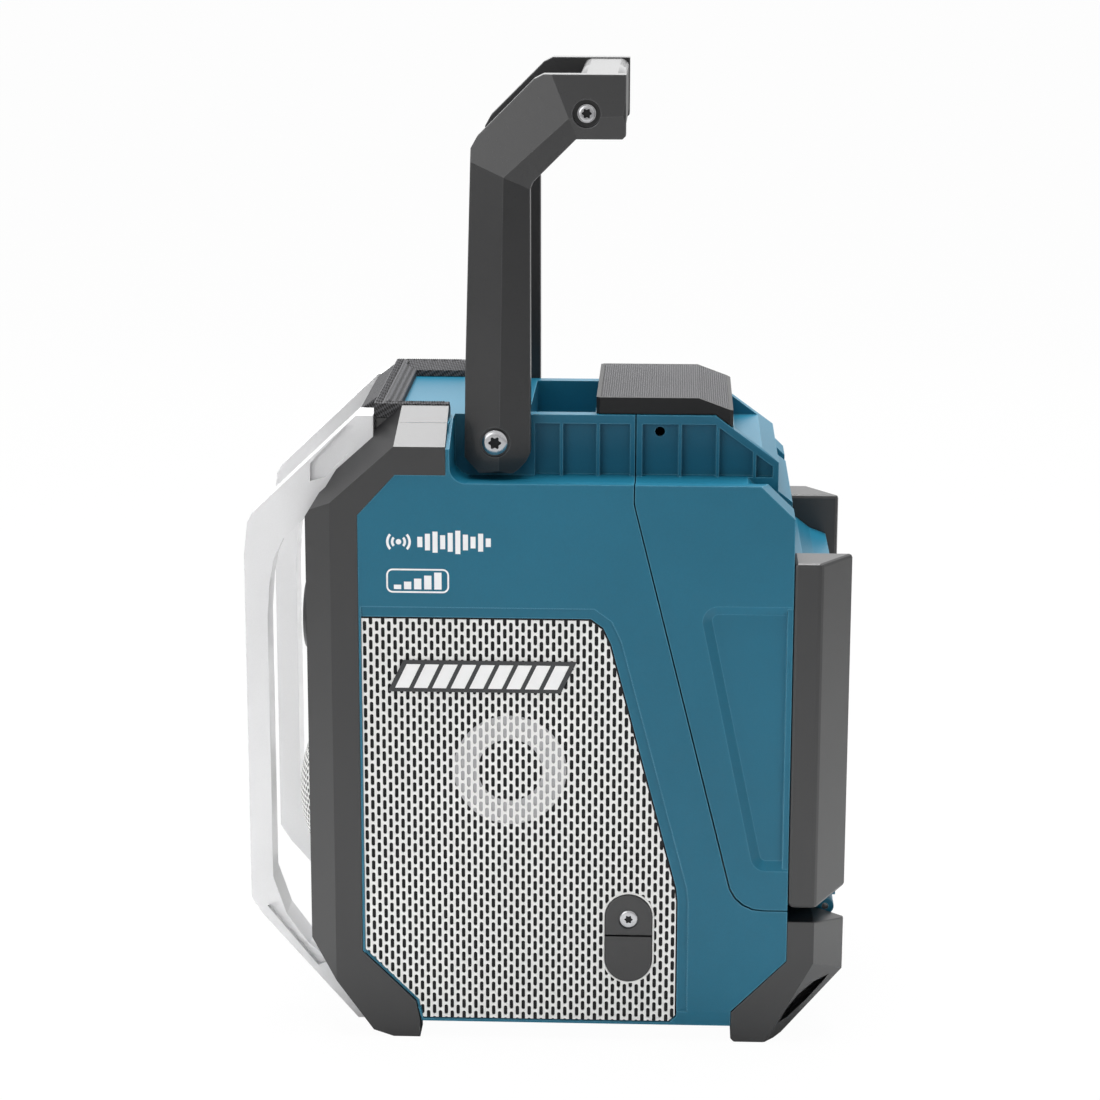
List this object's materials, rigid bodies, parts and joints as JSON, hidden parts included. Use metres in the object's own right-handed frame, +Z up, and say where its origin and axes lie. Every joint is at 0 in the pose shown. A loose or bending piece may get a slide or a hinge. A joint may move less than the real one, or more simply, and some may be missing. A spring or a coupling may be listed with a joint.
{
  "type": "jobsite radio",
  "caption": "Rugged jobsite radio with rubber corner bumpers, front roll guards, folding carry handle, side grilles and hinged battery door.",
  "frame": {"origin": "middle of the footprint, on the surface it stands on", "axes": "+Z up, front panel faces -Y, jack cover side is +X"},
  "size_m": [0.16, 0.268, 0.4285],
  "materials": {
    "blue_casing": "fine matt texture",
    "rubber": "matt overmould",
    "knurled_rubber": "knurled",
    "silver_paint": "satin silver white",
    "grille_steel": "perforated, painted",
    "badge_plate": "satin",
    "handle_nylon": "satin",
    "latch_black": "satin",
    "latch_pad": "fine ribbed",
    "key_rubber": "matt",
    "dial_plastic": "satin",
    "window_glass": "clear",
    "display_glass": "display",
    "inner_black": "matt",
    "circuit_board": "solder mask",
    "speaker_steel": "zinc",
    "speaker_cone": "paper pulp",
    "magnet": "sintered",
    "plated_steel": "zinc plated"
  },
  "bodies": {
    "casing": {"main_housing": "blue_casing", "left_front_bumper": "rubber", "right_front_bumper": "rubber", "left_foot": "rubber", "right_foot": "rubber", "jack_cover": "rubber", "top_rim": "knurled_rubber", "left_guard": "silver_paint", "right_guard": "silver_paint", "front_fascia": "silver_paint", "left_grille": "grille_steel", "right_grille": "grille_steel", "woofer_grille": "grille_steel", "left_badge": "badge_plate", "right_badge": "badge_plate", "display_window": "window_glass", "display_module": "display_glass", "bay_liner": "inner_black", "left_baffle": "inner_black", "right_baffle": "inner_black", "dial_encoder": "inner_black", "dc_jack": "inner_black", "terminal_block": "inner_black", "main_board": "circuit_board", "amplifier_board": "circuit_board", "left_speaker_basket": "speaker_steel", "right_speaker_basket": "speaker_steel", "woofer_basket": "speaker_steel", "left_speaker_cone": "speaker_cone", "right_speaker_cone": "speaker_cone", "woofer_cone": "speaker_cone", "left_speaker_magnet": "magnet", "right_speaker_magnet": "magnet", "woofer_magnet": "magnet", "ferrite_antenna": "magnet", "jack_screw": "plated_steel", "pivot_bolts": "plated_steel", "housing_screws": "plated_steel", "door_hinge_pins": "plated_steel", "pivot_washers": "plated_steel"},
    "handle": {"left_arm": "handle_nylon", "right_arm": "handle_nylon", "handle_grip": "handle_nylon", "grip_tube": "plated_steel", "grip_screws": "plated_steel"},
    "door": {"battery_door": "blue_casing", "left_door_bumper": "rubber", "right_door_bumper": "rubber", "latch_pin": "plated_steel"},
    "latch": {"door_latch": "latch_black", "latch_pad": "latch_pad"},
    "dial": {"tuning_dial": "dial_plastic", "dial_shaft": "plated_steel"},
    "flap": {"jack_flap": "rubber"},
    "power_key_body": {"power_key": "key_rubber"},
    "source_key_body": {"source_key": "key_rubber"},
    "preset_one_key_body": {"preset_one_key": "key_rubber"},
    "preset_two_key_body": {"preset_two_key": "key_rubber"},
    "preset_three_key_body": {"preset_three_key": "key_rubber"}
  },
  "joints": [
    {"name": "handle_fold", "type": "hinge", "parent": "casing", "child": "handle", "pos_m": [0, -0.023, 0.269], "axis": [1, 0, 0], "range_deg": [-90, 0]},
    {"name": "door_open", "type": "hinge", "parent": "casing", "child": "door", "pos_m": [0, 0.126, 0.056], "axis": [-1, 0, 0], "range_deg": [0, 80]},
    {"name": "latch_lift", "type": "hinge", "parent": "door", "child": "latch", "pos_m": [0, 0.0795, 0.2765], "axis": [-1, 0, 0], "range_deg": [0, 45]},
    {"name": "flap_hinge", "type": "hinge", "parent": "casing", "child": "flap", "pos_m": [0.08, 0.0375, 0.0495], "axis": [0, -1, 0], "range_deg": [0, 100]},
    {"name": "dial_turn", "type": "hinge", "parent": "casing", "child": "dial", "pos_m": [0, -0.104, 0.176], "axis": [0, -1, 0], "continuous": true},
    {"name": "power_key_press", "type": "slide", "parent": "casing", "child": "power_key_body", "axis": [0, 1, 0], "range_m": [0, 0.0012], "stiffness_N_per_m": 300, "springref_m": -0.0005},
    {"name": "source_key_press", "type": "slide", "parent": "casing", "child": "source_key_body", "axis": [0, 1, 0], "range_m": [0, 0.0012], "stiffness_N_per_m": 300, "springref_m": -0.0005},
    {"name": "preset_one_key_press", "type": "slide", "parent": "casing", "child": "preset_one_key_body", "axis": [0, 1, 0], "range_m": [0, 0.0012], "stiffness_N_per_m": 300, "springref_m": -0.0005},
    {"name": "preset_two_key_press", "type": "slide", "parent": "casing", "child": "preset_two_key_body", "axis": [0, 1, 0], "range_m": [0, 0.0012], "stiffness_N_per_m": 300, "springref_m": -0.0005},
    {"name": "preset_three_key_press", "type": "slide", "parent": "casing", "child": "preset_three_key_body", "axis": [0, 1, 0], "range_m": [0, 0.0012], "stiffness_N_per_m": 300, "springref_m": -0.0005}
  ]
}
